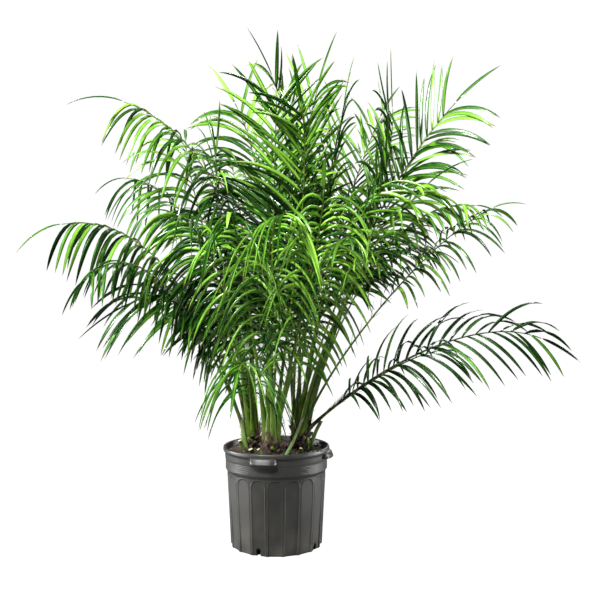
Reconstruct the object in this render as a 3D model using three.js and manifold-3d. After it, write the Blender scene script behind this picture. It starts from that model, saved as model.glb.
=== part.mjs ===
// Potted pygmy date palm: a clump of three young trunks with arching feather fronds in a
// ribbed plastic nursery pot. Millimetres, +Z up, origin at the centre of the pot's
// underside. Angles round the pot are in degrees, from the front (-Y) towards +X.
import * as THREE from 'three';
import { mergeVertices } from 'three/addons/utils/BufferGeometryUtils.js';
import Module from 'manifold-3d';

const wasm = await Module();
wasm.setup();

// Pot: a tapered wall, a wider band above it and a rolled lip
const POT_HEIGHT = 249;
const POT_SIDES = 36;
const BASE_RADIUS = 114;
const BASE_CHAMFER = 2;
const WALL_TOP_RADIUS = 124;
const BAND_RADIUS = 128;
const BAND_BOTTOM = 194;
const BAND_STEP = 3;
const LIP_RADIUS = 134;
const LIP_BOTTOM = 238;
const LIP_ROUND = 2;
const WALL = 3.5;
const FLOOR = 4;

// Arched panels sunk in the wall, a flat on every second side of the pot
const PANEL_COUNT = 18;
const PANEL_WIDTH = 34;
const PANEL_TOP = 183;
const PANEL_DEPTH = 1.9;

// Lifting lugs under the lip, and drain notches in the foot
const LUG_ANGLES = [-13, 77, 212];
const LUG_RADIUS = 146;
const LUG_WIDTH = 68;
const LUG_DEPTH = 18;
const LUG_CORNER = 7;
const LUG_BOTTOM = 224;
const LUG_TOP = 241;
const NOTCH_ANGLES = [-21, 59, 159, 239];
const NOTCH_WIDTH = 11;
const NOTCH_HEIGHT = 18;

// How far a cutting shape runs past what it cuts
const PAST = 5;

// Soil, which fills the pot with a small clearance and has a plain hole for each trunk
const GAP = 0.4;
const SOIL_TOP = 234;
const SOIL_CROWN = 4;
const SOIL_SHOULDER = 90;

// Trunks, with the stubs of old stalks turned by the golden angle
const TRUNK_BOTTOM = 130;
const TRUNK_SIDES = 10;
const TRUNKS = {
  left: { x: -65, y: 30, radius: 17, crownRadius: 25, crownHeight: 278 },
  middle: { x: -12, y: -38, radius: 17, crownRadius: 24, crownHeight: 272 },
  right: { x: 62, y: 34, radius: 19, crownRadius: 27, crownHeight: 284 },
};
const COLLAR_HEIGHT = 8;
const CROWN_DEPTH = 24;
const CROWN_DOME = 11;
const STUB_COUNT = 5;
const STUB_WIDTH = 13;
const STUB_THICKNESS = 6;
const STUB_LENGTH = 26;
const STUB_TAPER = 3;
const STUB_LEAN = 20;
const GOLDEN_ANGLE = 137.5;

// Stalks: where they sit in their crown and how they narrow into midribs
const STALK_WIDTH = 8;
const STALK_HEIGHT = 5;
const STALK_STRAIGHT = 15;
const STALK_RINGS = 3;
const TIP_WIDTH = 2.4;
const TIP_HEIGHT = 2;
const SOCKET_DEPTH = 4;
const SOCKET_LENGTH = 40;
const SEAT_SPACING = 11.5;
const SEAT_MARGIN = 5;
const SEAT_SPREAD = 1.6;
const FIRST_HANDLE = 0.32;
const ROUTE_MARGIN = 7;

// Leaflets
const LEAFLET_LENGTH = 200;
const LEAFLET_WIDTH = 9;
const LEAFLET_THICKNESS = 1;
const LEAFLET_ROOT = 8;
const LEAFLET_STEPS = 8;
const STIFF_RAISE = 32;
const SAG_DROP = 10;
const STIFF_SAG = 1;
const SOFT_SAG = 2.4;
const STIFF_SPREAD = 47;
const SOFT_SPREAD = 70;
const LAST_SPREAD = 34;
const LAST_PAIR = 0.965;
const CLEARANCE = 1.2;
const LAST_LEAFLET_LENGTH = 0.85;
const LAST_LEAFLET_SAG = 0.25;
const LOWEST_LEAF = 270;

// Each frond: the trunk that it grows on, a point that its midrib passes, its tip, the roll
// of its blade in degrees, its leaflet pairs, leaflet size, sag and bare share of the midrib
const FRONDS = [
  ['left_high', 'left', [-225, -30, 975], [-378, -60, 1104], -30, 9, 1.05, 3.2, 0.27],
  ['left_back', 'left', [-280, 110, 875], [-425, 200, 950], -10, 8, 1.0, 3.2, 0.3],
  ['left_long', 'left', [-390, -60, 815], [-515, -110, 797], -25, 10, 0.95, 4.0, 0.28],
  ['left_arch', 'left', [-365, -130, 705], [-435, -210, 658], -15, 8, 0.72, 3.0, 0.35],
  ['left_dark', 'left', [-195, 20, 520], [-375, 20, 605], -35, 9, 1.22, 1.6, 0.46],
  ['left_front', 'left', [-150, -130, 720], [-225, -270, 810], 0, 7, 0.95, 2.4, 0.3],
  ['left_inner', 'left', [-190, 80, 880], [-250, 140, 1045], -20, 8, 1.1, 2.2, 0.3],
  ['left_back_low', 'left', [-190, 235, 570], [-325, 385, 640], 0, 8, 0.85, 2.0, 0.42],
  ['back_left', 'left', [-150, 190, 700], [-260, 370, 880], 0, 8, 0.95, 2.0, 0.3],
  ['top_back_left', 'left', [-110, 140, 820], [-140, 270, 1010], 0, 8, 0.9, 2.4, 0.35],
  ['top_left', 'left', [-135, -25, 805], [-145, -70, 1010], -30, 8, 0.9, 1.6, 0.35],
  ['front_low', 'left', [-62, -150, 446], [-72, -300, 466], 0, 7, 1.06, 3.0, 0.35],
  ['front_left', 'middle', [-60, -160, 660], [-85, -360, 800], 0, 8, 1.0, 3.4, 0.3],
  ['front_centre', 'middle', [10, -180, 690], [40, -400, 800], 0, 8, 1.1, 3.6, 0.35],
  ['front_centre_right', 'middle', [50, -160, 680], [110, -330, 855], 0, 7, 1.0, 3.0, 0.3],
  ['front_high', 'middle', [40, -110, 850], [62, -240, 1060], 0, 8, 1.0, 0.9, 0.3],
  ['front_top', 'middle', [-5, -90, 850], [5, -170, 1110], 0, 8, 1.0, 0.8, 0.35],
  ['top_arch', 'middle', [-30, 10, 830], [-110, 40, 1125], -45, 9, 0.95, 1.5, 0.35],
  ['top_bright', 'middle', [40, -60, 880], [105, -100, 1135], 60, 9, 1.0, 1.1, 0.35],
  ['back_centre', 'middle', [10, 110, 760], [10, 300, 1010], 0, 7, 0.95, 1.6, 0.3],
  ['right_front_low', 'middle', [115, -150, 640], [165, -310, 750], 0, 7, 0.6, 2.8, 0.55],
  ['top_tall', 'right', [48, 70, 900], [-15, 60, 1200], 0, 10, 1.05, 1.1, 0.35],
  ['top_right', 'right', [128, 20, 850], [172, 10, 1105], 30, 8, 1.0, 1.2, 0.3],
  ['top_right_front', 'right', [222, -30, 850], [285, -80, 1085], 20, 7, 1.1, 1.1, 0.42],
  ['top_back', 'right', [60, 190, 780], [50, 380, 1050], 0, 7, 0.95, 1.6, 0.3],
  ['right_back_high', 'right', [195, 160, 845], [290, 260, 1135], 10, 8, 1.0, 1.2, 0.3],
  ['right_inner', 'right', [280, 80, 835], [368, 130, 1000], 20, 7, 1.2, 1.4, 0.45],
  ['right_high', 'right', [325, 0, 905], [450, -30, 1110], 60, 11, 1.06, 1.3, 0.38],
  ['right_arch', 'right', [345, -65, 815], [478, -130, 840], 15, 9, 0.6, 2.4, 0.5],
  ['right_bright', 'right', [262, -120, 780], [345, -240, 875], 10, 7, 0.88, 1.9, 0.54],
  ['right_long', 'right', [340, 20, 700], [555, 20, 850], 25, 9, 0.75, 2.0, 0.55],
  ['right_second', 'right', [265, 70, 700], [430, 140, 745], 15, 7, 0.6, 1.8, 0.55],
  ['right_low_long', 'right', [430, -60, 515], [655, -60, 520], 58, 11, 0.92, 1.4, 0.18],
  ['right_low_second', 'right', [280, 50, 425], [450, 100, 480], 30, 8, 0.8, 1.8, 0.3],
  ['right_front', 'right', [185, -150, 750], [255, -300, 870], 0, 7, 0.85, 1.6, 0.6],
  ['right_back', 'right', [240, 210, 720], [390, 340, 820], 0, 7, 0.85, 1.6, 0.55],
  ['back_right_low', 'right', [15, 230, 600], [5, 430, 710], 0, 7, 0.85, 2.0, 0.35],
];

const UP = new THREE.Vector3(0, 0, 1);
const radians = THREE.MathUtils.degToRad;
const { lerp, clamp, smoothstep } = THREE.MathUtils;

function material(color, roughness) {
  return new THREE.MeshStandardMaterial({ color, roughness, metalness: 0 });
}

const MATERIALS = {
  plastic: material(0x3b3a35, 0.45),
  soil: material(0x32281f, 0.95),
  fibre: material(0x2e211a, 0.9),
  leaf: material(0x3d6b1c, 0.5),
};

// Solids: welded meshes go in and out of the boolean library
function weld(geometry) {
  const bare = geometry.clone();
  bare.deleteAttribute('normal');
  bare.deleteAttribute('uv');
  const welded = mergeVertices(bare, 1e-4);
  const corners = welded.index.array;
  const kept = [];
  for (let i = 0; i < corners.length; i += 3) {
    const [a, b, c] = corners.slice(i, i + 3);
    if (a !== b && b !== c && c !== a) kept.push(a, b, c);
  }
  welded.setIndex(kept);
  return welded;
}

function toSolid(geometry) {
  const welded = weld(geometry);
  return new wasm.Manifold(new wasm.Mesh({
    numProp: 3,
    vertProperties: new Float32Array(welded.attributes.position.array),
    triVerts: new Uint32Array(welded.index.array),
  }));
}

function fromSolid(solid) {
  const mesh = solid.getMesh();
  const geometry = new THREE.BufferGeometry();
  geometry.setAttribute('position', new THREE.BufferAttribute(mesh.vertProperties, 3));
  geometry.setIndex(Array.from(mesh.triVerts));
  return geometry;
}

function addMesh(group, name, geometry, look) {
  const faceted = geometry.toNonIndexed();
  faceted.computeVertexNormals();
  const mesh = new THREE.Mesh(faceted, look);
  mesh.name = name;
  group.add(mesh);
}

// A profile of [radius, height] points turned about the Z axis, its first side at the front
function turned(profile, sides) {
  const points = profile.map(([radius, height]) => new THREE.Vector2(radius, height));
  return new THREE.LatheGeometry(points, sides).rotateX(Math.PI / 2);
}

// A shape drawn with X across and Y up, stood upright at an angle round the pot, its inner
// face at a radius and leaning outwards, and reaching outwards by depth
function onWall(shape, depth, radius, lean, angle) {
  return new THREE.ExtrudeGeometry(shape, { depth, bevelEnabled: false, curveSegments: 3 })
    .rotateX(Math.PI / 2 + lean)
    .translate(0, -radius, 0)
    .rotateZ(radians(angle));
}

function archShape(width, top) {
  const half = width / 2;
  const shape = new THREE.Shape();
  shape.moveTo(-half, -PAST);
  shape.lineTo(half, -PAST);
  shape.lineTo(half, top - half);
  shape.absarc(0, top - half, half, 0, Math.PI, false);
  return shape;
}

// Pot
function potShell() {
  return toSolid(turned([
    [0, 0],
    [BASE_RADIUS - BASE_CHAMFER, 0],
    [BASE_RADIUS, BASE_CHAMFER],
    [WALL_TOP_RADIUS, BAND_BOTTOM - BAND_STEP],
    [BAND_RADIUS, BAND_BOTTOM],
    [BAND_RADIUS, LIP_BOTTOM],
    [LIP_RADIUS - LIP_ROUND, LIP_BOTTOM],
    [LIP_RADIUS, LIP_BOTTOM + LIP_ROUND],
    [LIP_RADIUS, POT_HEIGHT - LIP_ROUND],
    [LIP_RADIUS - LIP_ROUND, POT_HEIGHT],
    [BAND_RADIUS - WALL, POT_HEIGHT],
    [BAND_RADIUS - WALL, BAND_BOTTOM],
    [WALL_TOP_RADIUS - WALL, BAND_BOTTOM - BAND_STEP],
    [BASE_RADIUS - WALL, FLOOR],
    [0, FLOOR],
  ], POT_SIDES));
}

function lugSolid(angle) {
  const half = LUG_WIDTH / 2;
  const shoulder = LUG_DEPTH - LUG_CORNER;
  const plan = new THREE.Shape();
  plan.moveTo(-half, 0);
  plan.lineTo(half, 0);
  plan.lineTo(half, shoulder);
  plan.lineTo(half - LUG_CORNER, LUG_DEPTH);
  plan.lineTo(-half + LUG_CORNER, LUG_DEPTH);
  plan.lineTo(-half, shoulder);
  const block = new THREE.ExtrudeGeometry(plan, { depth: LUG_TOP - LUG_BOTTOM, bevelEnabled: false })
    .rotateZ(Math.PI)
    .translate(0, LUG_DEPTH - LUG_RADIUS, LUG_BOTTOM)
    .rotateZ(radians(angle));
  const reach = BAND_RADIUS - WALL / 2;
  const inside = turned([[0, 0], [reach, 0], [reach, POT_HEIGHT], [0, POT_HEIGHT]], POT_SIDES);
  return toSolid(block).subtract(toSolid(inside));
}

function potGeometry() {
  let pot = potShell();
  const lean = Math.atan2(WALL_TOP_RADIUS - BASE_RADIUS, BAND_BOTTOM);
  const panel = archShape(PANEL_WIDTH, PANEL_TOP);
  for (let i = 0; i < PANEL_COUNT; i += 1) {
    const angle = (i * 360) / PANEL_COUNT;
    const cutter = onWall(panel, BAND_RADIUS - BASE_RADIUS, BASE_RADIUS - PANEL_DEPTH, lean, angle);
    pot = pot.subtract(toSolid(cutter));
  }
  const notch = archShape(NOTCH_WIDTH, NOTCH_HEIGHT);
  const inner = BASE_RADIUS - WALL - PAST;
  for (const angle of NOTCH_ANGLES) {
    pot = pot.subtract(toSolid(onWall(notch, WALL + 2 * PAST, inner, 0, angle)));
  }
  for (const angle of LUG_ANGLES) pot = pot.add(lugSolid(angle));
  return fromSolid(pot);
}

// Soil
function soilGeometry() {
  const inset = WALL + GAP;
  let soil = toSolid(turned([
    [0, FLOOR + GAP],
    [BASE_RADIUS - inset, FLOOR + GAP],
    [WALL_TOP_RADIUS - inset, BAND_BOTTOM - BAND_STEP],
    [BAND_RADIUS - inset, BAND_BOTTOM],
    [BAND_RADIUS - inset, SOIL_TOP],
    [SOIL_SHOULDER, SOIL_TOP + SOIL_CROWN / 2],
    [0, SOIL_TOP + SOIL_CROWN],
  ], POT_SIDES));
  for (const { x, y, radius } of Object.values(TRUNKS)) {
    const bore = radius + GAP;
    const bottom = TRUNK_BOTTOM - GAP;
    const hole = turned([[0, bottom], [bore, bottom], [bore, POT_HEIGHT], [0, POT_HEIGHT]], TRUNK_SIDES);
    soil = soil.subtract(toSolid(hole.translate(x, y, 0)));
  }
  return fromSolid(soil);
}

// Routes of the midribs
function perpendicular(vector, axis) {
  return vector.clone().addScaledVector(axis, -vector.dot(axis)).normalize();
}

// The direction in which a stalk leaves its crown: steeper than the straight way to its via
// point, the more so the steeper that way is
function stalkDirection(reach) {
  const steepness = reach.z / reach.length();
  const rise = lerp(0.35, 1, smoothstep(steepness, 0.5, 0.8));
  return reach.clone().setZ(reach.z + rise * reach.length()).normalize();
}

// Seats of the stalks of one crown: steep stalks in its middle, flat ones at its rim, and
// pushed apart until they keep their spacing
function seatStalks(fronds, crownRadius) {
  const limit = crownRadius - SEAT_MARGIN;
  const seats = fronds.map(({ direction }) => new THREE.Vector2(direction.x, direction.y)
    .multiplyScalar(SEAT_SPREAD * limit));
  for (let round = 0; round < 300; round += 1) {
    for (let i = 0; i < seats.length; i += 1) {
      for (let j = 0; j < i; j += 1) {
        const away = seats[i].clone().sub(seats[j]);
        const missing = SEAT_SPACING - away.length();
        if (missing <= 0) continue;
        away.normalize();
        seats[i].addScaledVector(away, missing * 0.3);
        seats[j].addScaledVector(away, -missing * 0.3);
      }
    }
    for (const seat of seats) seat.clampLength(0, limit);
  }
  fronds.forEach((frond, i) => {
    frond.start = frond.crown.clone().add(new THREE.Vector3(seats[i].x, seats[i].y, 0));
  });
}

// A cubic curve that leaves the crown along the stalk, passes the via point and ends at the tip
function frondCurve({ start, direction, via, tip }) {
  const before = start.distanceTo(via);
  const t = before / (before + via.distanceTo(tip));
  const first = start.clone().addScaledVector(direction, FIRST_HANDLE * before);
  const second = via.clone()
    .addScaledVector(start, -((1 - t) ** 3))
    .addScaledVector(first, -3 * (1 - t) ** 2 * t)
    .addScaledVector(tip, -(t ** 3))
    .multiplyScalar(1 / (3 * (1 - t) * t * t));
  return new THREE.CubicBezierCurve3(start, first, second, tip);
}

function stalkWidth(share) {
  return lerp(STALK_WIDTH, TIP_WIDTH, Math.min(1, 1.1 * share) ** 0.7);
}

function stalkHeight(share) {
  return lerp(STALK_HEIGHT, TIP_HEIGHT, Math.min(1, 1.2 * share));
}

// The stretch by which two midribs come too close, as a push for the first one
function tooClose(route, other) {
  const steps = route.length - 1;
  const worst = new THREE.Vector3();
  for (let a = 2; a <= steps; a += 1) {
    for (let b = 2; b <= steps; b += 1) {
      const away = route[a].clone().sub(other[b]);
      const needed = (stalkWidth(a / steps) + stalkWidth(b / steps)) / 2 + ROUTE_MARGIN;
      const missing = needed - away.length();
      if (missing > worst.length()) worst.copy(away).setLength(missing);
    }
  }
  return worst;
}

// Midribs that come too close to each other are bent apart at their via points
function bendClear(fronds) {
  for (let round = 0; round < 80; round += 1) {
    let moved = false;
    const routes = fronds.map((frond) => frondCurve(frond).getPoints(30));
    for (let i = 0; i < fronds.length; i += 1) {
      for (let j = 0; j < i; j += 1) {
        const push = tooClose(routes[i], routes[j]);
        const missing = push.length();
        if (missing === 0) continue;
        push.setLength(0.6 * missing + 1);
        fronds[i].via.add(push);
        fronds[j].via.sub(push);
        moved = true;
      }
    }
    if (!moved) return;
  }
}

function planFronds() {
  const fronds = FRONDS.map(([name, trunkName, via, tip, roll, pairs, size, sag, bare]) => {
    const { x, y, crownHeight } = TRUNKS[trunkName];
    const crown = new THREE.Vector3(x, y, crownHeight);
    const viaPoint = new THREE.Vector3(...via);
    const direction = stalkDirection(viaPoint.clone().sub(crown));
    return {
      name, trunkName, crown, direction, via: viaPoint, tip: new THREE.Vector3(...tip),
      roll: radians(roll), pairs, size, sag, bare,
    };
  });
  for (const [trunkName, trunk] of Object.entries(TRUNKS)) {
    seatStalks(fronds.filter((frond) => frond.trunkName === trunkName), trunk.crownRadius);
  }
  bendClear(fronds);
  for (const frond of fronds) frond.curve = frondCurve(frond);
  return fronds;
}

// The frame of a midrib at a share of its length: along it, to its right and up its face
function frameAt(frond, share) {
  const along = frond.curve.getTangentAt(share);
  const outward = frond.tip.clone().sub(frond.crown).setZ(0).normalize();
  const right = perpendicular(new THREE.Vector3(outward.y, -outward.x, 0), along);
  right.applyAxisAngle(along, frond.roll * smoothstep(share, 0.1, 0.5));
  const face = right.clone().cross(along).normalize();
  return { point: frond.curve.getPointAt(share), along, right, face };
}

// Leaflets, from the first pair (share 0) to the last (share 1) of the leafy stretch
function leafletLength(frond, share) {
  const swell = 0.6 + 0.4 * Math.sin(Math.PI * (0.08 + 0.75 * share));
  return LEAFLET_LENGTH * frond.size * swell * (1 - 0.05 * share);
}

function pairShare(frond, leafShare) {
  return lerp(frond.bare, LAST_PAIR, leafShare);
}

// A leaflet leaves the midrib straight and turns downwards under its own weight
function leafletPath(root, direction, length, bend) {
  const points = [root];
  for (let step = 0; step < LEAFLET_STEPS; step += 1) {
    const t = (step + 0.5) / LEAFLET_STEPS;
    const run = direction.clone().addScaledVector(UP, -bend * t).setLength(length / LEAFLET_STEPS);
    points.push(points[step].clone().add(run));
  }
  return points;
}

// The path of the leaflet that ends a midrib
function lastLeaflet(frond) {
  const { point, along } = frameAt(frond, 1);
  const length = LAST_LEAFLET_LENGTH * leafletLength(frond, 1);
  return leafletPath(point, along, length, LAST_LEAFLET_SAG * frond.sag);
}

// Stiff leaflets stand closer to their midrib, and its weight bends a leaflet the more the
// more level it leaves the midrib
function leafletPlan(frond, leafShare, side, lift, turn, scale) {
  const frame = frameAt(frond, pairShare(frond, leafShare));
  const firstSpread = lerp(STIFF_SPREAD, SOFT_SPREAD, smoothstep(frond.sag, STIFF_SAG, SOFT_SAG));
  const spread = radians(lerp(firstSpread, LAST_SPREAD, leafShare ** 1.5) + turn);
  const raise = radians(STIFF_RAISE - SAG_DROP * frond.sag + lift);
  const out = frame.right.clone().multiplyScalar(side * Math.cos(raise))
    .addScaledVector(frame.face, Math.sin(raise));
  const direction = frame.along.clone().multiplyScalar(Math.cos(spread))
    .addScaledVector(out, Math.sin(spread)).normalize();
  const length = leafletLength(frond, leafShare) * scale;
  const bend = frond.sag * (0.25 + 0.75 * Math.hypot(direction.x, direction.y));
  const points = leafletPath(frame.point, direction, length, bend);
  return {
    side, along: frame.along, root: frame.point, middle: points[LEAFLET_STEPS / 2], tip: points[LEAFLET_STEPS],
  };
}

// Clearance is kept between sticks: straight stretches with a radius at each end
function stick(start, end, startRadius, endRadius, owner) {
  const centre = start.clone().lerp(end, 0.5);
  const bound = start.distanceTo(end) / 2 + Math.max(startRadius, endRadius) + CLEARANCE;
  return { start, end, startRadius, endRadius, owner, centre, bound };
}

function sticksTouch(first, second) {
  const reach = first.bound + second.bound;
  if (first.centre.distanceToSquared(second.centre) > reach * reach) return false;
  const u = first.end.clone().sub(first.start);
  const v = second.end.clone().sub(second.start);
  const w = first.start.clone().sub(second.start);
  const a = u.dot(u);
  const b = u.dot(v);
  const c = v.dot(v);
  const d = u.dot(w);
  const e = v.dot(w);
  const slant = a * c - b * b;
  const guess = slant > 1e-9 ? clamp((b * e - c * d) / slant, 0, 1) : 0;
  const t = clamp((b * guess + e) / c, 0, 1);
  const s = clamp((b * t - d) / a, 0, 1);
  const distance = w.addScaledVector(u, s).addScaledVector(v, -t).length();
  const radii = lerp(first.startRadius, first.endRadius, s) + lerp(second.startRadius, second.endRadius, t);
  return distance < radii + CLEARANCE;
}

function fixedSticks(fronds) {
  const sticks = [];
  const steps = 26;
  for (const frond of fronds) {
    const points = frond.curve.getSpacedPoints(steps);
    for (let i = 0; i < steps; i += 1) {
      const radius = stalkWidth(i / steps) / 2 + 0.5;
      sticks.push(stick(points[i], points[i + 1], radius, radius, frond.name));
    }
    const last = lastLeaflet(frond);
    const half = LEAFLET_WIDTH / 2;
    sticks.push(stick(last[0], last[LEAFLET_STEPS / 2], half, half, frond.name));
    sticks.push(stick(last[LEAFLET_STEPS / 2], last[LEAFLET_STEPS], half, LEAFLET_THICKNESS, frond.name));
  }
  for (const { x, y, crownRadius, crownHeight } of Object.values(TRUNKS)) {
    const foot = new THREE.Vector3(x, y, SOIL_TOP);
    const top = new THREE.Vector3(x, y, crownHeight);
    sticks.push(stick(foot, top, crownRadius + CROWN_DOME, crownRadius + CROWN_DOME, 'trunk'));
  }
  return sticks;
}

// Trial poses of a leaflet in their order: lift and turn in degrees, and the share of its length
const SMALL_BENDS = [[14, 0], [-14, 0], [0, 12], [0, -12], [14, 12], [-14, -12], [-14, 12], [14, -12]];
const LARGE_BENDS = [[30, 0], [-30, 0], [0, 22], [0, -22], [30, 14], [-30, 14]];
const TRIALS = [[0, 0, 1]];
for (const scale of [1, 0.85, 0.65]) {
  for (const [lift, turn] of [...SMALL_BENDS, ...LARGE_BENDS]) TRIALS.push([lift, turn, scale]);
}

// The first of a leaflet's trial poses that is clear of everything that stands already
function clearLeaflet(frond, leafShare, side, sticks) {
  const half = LEAFLET_WIDTH / 2;
  for (const [lift, turn, scale] of TRIALS) {
    const plan = leafletPlan(frond, leafShare, side, lift, turn, scale);
    plan.sticks = [
      stick(plan.root, plan.middle, half, half, frond.name),
      stick(plan.middle, plan.tip, half, LEAFLET_THICKNESS, frond.name),
    ];
    const low = Math.min(plan.middle.z, plan.tip.z) < LOWEST_LEAF;
    const blocked = sticks.some((other) => other.owner !== frond.name
      && plan.sticks.some((own) => sticksTouch(own, other)));
    if (!low && !blocked) return plan;
  }
  return null;
}

function placeLeaflets(fronds) {
  const sticks = fixedSticks(fronds);
  for (const frond of fronds) {
    frond.couples = [];
    for (let pair = 0; pair < frond.pairs; pair += 1) {
      const leafShare = pair / (frond.pairs - 1);
      const couple = [1, -1].map((side) => clearLeaflet(frond, leafShare, side, sticks));
      for (const plan of couple) {
        if (plan) sticks.push(...plan.sticks);
      }
      frond.couples.push({ share: pairShare(frond, leafShare), couple });
    }
  }
}

// A closed mesh under construction, made of four-cornered sections
class SectionMesh {
  constructor() {
    this.positions = [];
    this.corners = [];
  }

  addPoint(point) {
    this.positions.push(point.x, point.y, point.z);
    return this.positions.length / 3 - 1;
  }

  // A section's corners run from the upper left round by the right, seen from its back
  addSection(point, across, up, width, height) {
    return [[-1, 1], [1, 1], [1, -1], [-1, -1]].map(([a, b]) => this.addPoint(point.clone()
      .addScaledVector(across, (a * width) / 2).addScaledVector(up, (b * height) / 2)));
  }

  // The diagonal of a quad runs from its first corner to its third, or from its second to its last
  addQuad(a, b, c, d, fromSecond = false) {
    if (fromSecond) this.corners.push(a, b, d, b, c, d);
    else this.corners.push(a, b, c, a, c, d);
  }

  bridge(from, to, sides = [0, 1, 2, 3]) {
    for (const side of sides) {
      const next = (side + 1) % 4;
      this.addQuad(from[side], from[next], to[next], to[side]);
    }
  }

  addPointedEnd(section, tip) {
    for (let side = 0; side < 4; side += 1) {
      this.corners.push(section[side], section[(side + 1) % 4], tip);
    }
  }

  toGeometry() {
    const geometry = new THREE.BufferGeometry();
    geometry.setAttribute('position', new THREE.Float32BufferAttribute(this.positions, 3));
    geometry.setIndex(this.corners);
    return geometry;
  }
}

// A blade grows from a side face of the midrib: both its faces are split the same way
function addBlade(mesh, root, plan) {
  const run = plan.tip.clone().sub(plan.root).normalize();
  const across = perpendicular(plan.along, run);
  const up = run.clone().cross(across).multiplyScalar(plan.side);
  const [a, b, c, d] = mesh.addSection(plan.middle, across, up, LEAFLET_WIDTH, LEAFLET_THICKNESS);
  const section = plan.side > 0 ? [a, d, c, b] : [d, a, b, c];
  const topSide = plan.side > 0 ? 3 : 1;
  for (let side = 0; side < 4; side += 1) {
    const next = (side + 1) % 4;
    mesh.addQuad(root[side], root[next], section[next], section[side], side === topSide);
  }
  mesh.addPointedEnd(section, mesh.addPoint(plan.tip));
}

function addStalk(mesh, frond) {
  const { right, face } = frameAt(frond, 0);
  const sectionAt = (distance) => mesh.addSection(
    frond.start.clone().addScaledVector(frond.direction, distance), right, face, STALK_WIDTH, STALK_HEIGHT);
  const base = sectionAt(-SOCKET_DEPTH);
  mesh.addQuad(base[3], base[2], base[1], base[0]);
  const top = sectionAt(STALK_STRAIGHT);
  mesh.bridge(base, top);
  return top;
}

// A frond's one closed mesh: sections along the midrib, with a blade on each side of the
// short stretch between a pair's two sections, and a last leaflet that ends it
function frondGeometry(frond) {
  const mesh = new SectionMesh();
  const sectionAt = (share) => {
    const { point, right, face } = frameAt(frond, share);
    return mesh.addSection(point, right, face, stalkWidth(share), stalkHeight(share));
  };
  let section = addStalk(mesh, frond);
  for (let i = 1; i <= STALK_RINGS; i += 1) {
    const next = sectionAt((frond.bare * i) / (STALK_RINGS + 1));
    mesh.bridge(section, next);
    section = next;
  }
  const halfRoot = LEAFLET_ROOT / 2 / frond.curve.getLength();
  for (const { share, couple: [rightLeaf, leftLeaf] } of frond.couples) {
    const near = sectionAt(share - halfRoot);
    const far = sectionAt(share + halfRoot);
    mesh.bridge(section, near);
    mesh.bridge(near, far, [0, 2]);
    if (rightLeaf) addBlade(mesh, [near[1], near[2], far[2], far[1]], rightLeaf);
    else mesh.bridge(near, far, [1]);
    if (leftLeaf) addBlade(mesh, [near[3], near[0], far[0], far[3]], leftLeaf);
    else mesh.bridge(near, far, [3]);
    section = far;
  }
  const { right } = frameAt(frond, 1);
  const points = lastLeaflet(frond);
  const widest = points[LEAFLET_STEPS / 2];
  const run = widest.clone().sub(points[0]).normalize();
  const up = right.clone().cross(run).normalize();
  const last = mesh.addSection(widest, right, up, LEAFLET_WIDTH - 1, LEAFLET_THICKNESS);
  mesh.bridge(section, last);
  mesh.addPointedEnd(last, mesh.addPoint(points[LEAFLET_STEPS]));
  return mesh.toGeometry();
}

// Trunk: a fibrous column that widens into a crown, with stubs and a socket for each stalk
function stubSolid(trunk, i) {
  const outline = new THREE.Shape();
  outline.moveTo(-STUB_WIDTH / 2, 0);
  outline.lineTo(STUB_WIDTH / 2, 0);
  outline.lineTo(STUB_WIDTH / 2 - STUB_TAPER, STUB_LENGTH);
  outline.lineTo(-STUB_WIDTH / 2 + STUB_TAPER, STUB_LENGTH);
  const inner = trunk.radius - STUB_THICKNESS;
  const lowest = SOIL_TOP + SOIL_CROWN + GAP + STUB_THICKNESS;
  return toSolid(onWall(outline, STUB_THICKNESS, inner, radians(STUB_LEAN), GOLDEN_ANGLE * i)
    .translate(trunk.x, trunk.y, lerp(lowest, trunk.crownHeight - STUB_LENGTH, i / (STUB_COUNT - 1))));
}

function socketSolid(frond) {
  const { right, face } = frameAt(frond, 0);
  const width = STALK_WIDTH + 2 * GAP;
  const height = STALK_HEIGHT + 2 * GAP;
  const middle = frond.start.clone()
    .addScaledVector(frond.direction, SOCKET_LENGTH / 2 - SOCKET_DEPTH - GAP);
  const basis = new THREE.Matrix4().makeBasis(right, face, right.clone().cross(face));
  return toSolid(new THREE.BoxGeometry(width, height, SOCKET_LENGTH)
    .applyMatrix4(basis.setPosition(middle)));
}

function trunkGeometry(trunk, fronds) {
  const { x, y, radius, crownRadius, crownHeight } = trunk;
  let solid = toSolid(turned([
    [0, TRUNK_BOTTOM],
    [radius, TRUNK_BOTTOM],
    [radius, SOIL_TOP + COLLAR_HEIGHT],
    [crownRadius, crownHeight - CROWN_DEPTH],
    [crownRadius, crownHeight],
    [0.6 * crownRadius, crownHeight + 0.8 * CROWN_DOME],
    [0, crownHeight + CROWN_DOME],
  ], TRUNK_SIDES).translate(x, y, 0));
  for (let i = 0; i < STUB_COUNT; i += 1) solid = solid.add(stubSolid(trunk, i));
  for (const frond of fronds) solid = solid.subtract(socketSolid(frond));
  return fromSolid(solid);
}

const palm = new THREE.Group();
addMesh(palm, 'pot', potGeometry(), MATERIALS.plastic);
addMesh(palm, 'soil', soilGeometry(), MATERIALS.soil);
const fronds = planFronds();
placeLeaflets(fronds);
for (const [name, trunk] of Object.entries(TRUNKS)) {
  const grown = fronds.filter((frond) => frond.trunkName === name);
  addMesh(palm, `trunk_${name}`, trunkGeometry(trunk, grown), MATERIALS.fibre);
}
for (const frond of fronds) {
  addMesh(palm, `frond_${frond.name}`, frondGeometry(frond), MATERIALS.leaf);
}

export default palm;
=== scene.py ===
# Looks of the potted pygmy date palm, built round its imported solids. Every piece is modelled
# in the part's own millimetres, +Z up, and brought to metres when it is finished. Angles
# round the pot are in degrees, from the front (-Y) towards +X.
import math
import random
from collections import namedtuple

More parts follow.
